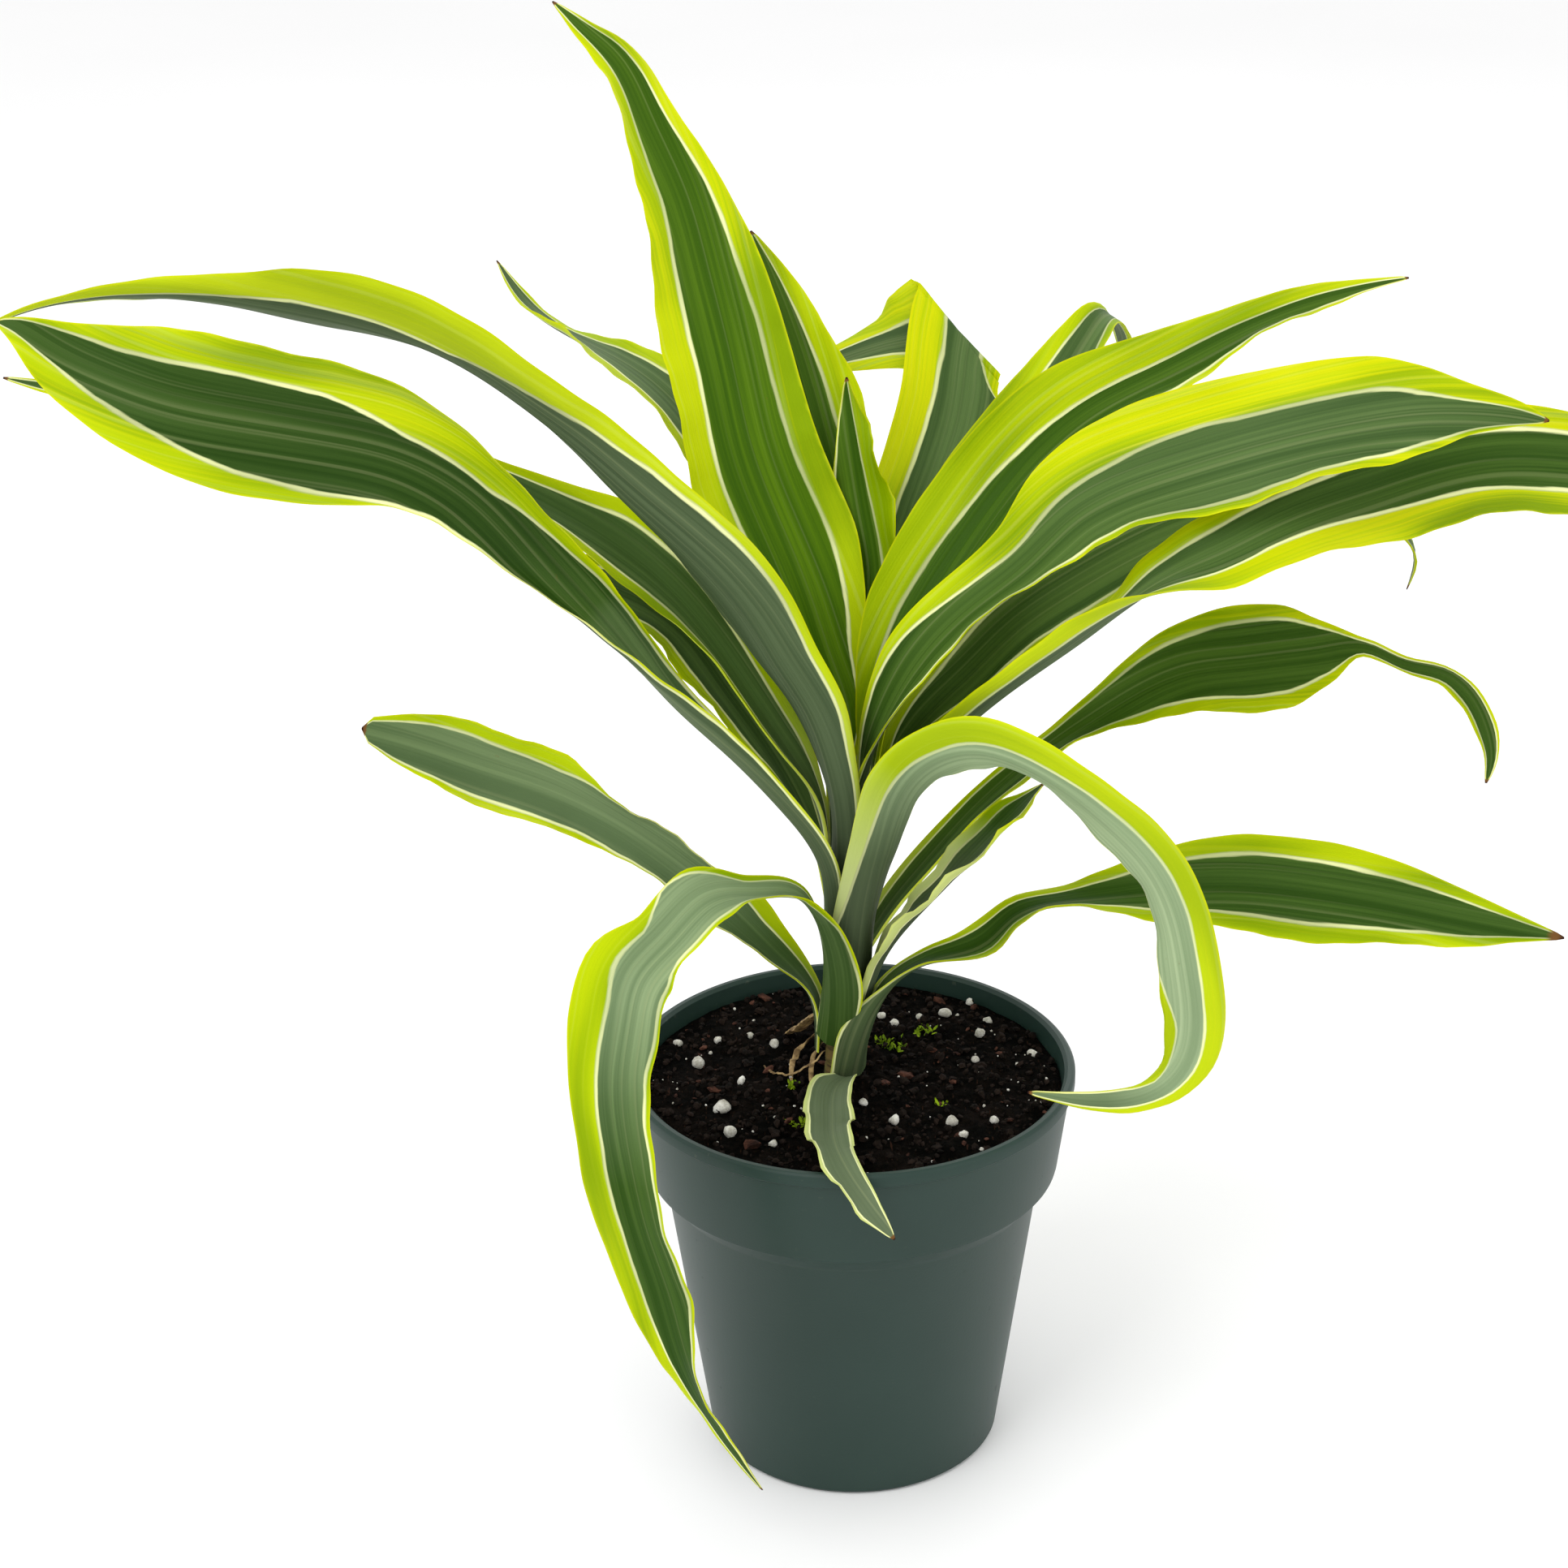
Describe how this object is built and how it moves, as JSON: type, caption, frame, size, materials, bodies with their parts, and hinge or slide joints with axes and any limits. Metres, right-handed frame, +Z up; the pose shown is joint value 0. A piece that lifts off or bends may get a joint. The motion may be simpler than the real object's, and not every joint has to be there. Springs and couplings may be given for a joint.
{
  "type": "potted variegated dracaena",
  "caption": "Upright foliage plant with arching lime-edged strap leaves on one short cane, standing in a tapered plastic nursery pot filled with potting soil.",
  "frame": {"origin": "centre of the flat underside of the pot's base, on the surface that the plant stands on", "axes": "+Z up along the pot's axis, -Y towards the viewer of the picture, +X to the picture's right"},
  "size_m": [0.3799, 0.1638, 0.3434],
  "materials": {
    "pot_plastic": "satin dark green injection-moulded plastic",
    "potting_soil": "dark crumbly peat with bark and perlite bits",
    "cane_bark": "matt olive-brown bark",
    "leaf_green": "waxy satin leaf, dark green centre with cream lines and lime margins"
  },
  "bodies": {
    "root": {"pot": "pot_plastic", "soil": "potting_soil", "cane": "cane_bark", "leaf_tall": "leaf_green", "leaf_young": "leaf_green", "leaf_tall_behind": "leaf_green", "leaf_back_fold": "leaf_green", "leaf_back_right": "leaf_green", "leaf_upper_right": "leaf_green", "leaf_right_big": "leaf_green", "leaf_right_inner": "leaf_green", "leaf_right_outer": "leaf_green", "leaf_mid_right": "leaf_green", "leaf_short_right": "leaf_green", "leaf_low_right": "leaf_green", "leaf_front_right": "leaf_green", "leaf_front_left": "leaf_green", "leaf_left_mid": "leaf_green", "leaf_left_big": "leaf_green", "leaf_left_upper": "leaf_green", "leaf_back_left": "leaf_green", "leaf_left_inner": "leaf_green", "leaf_left_dark": "leaf_green", "leaf_front_small": "leaf_green"}
  },
  "joints": []
}
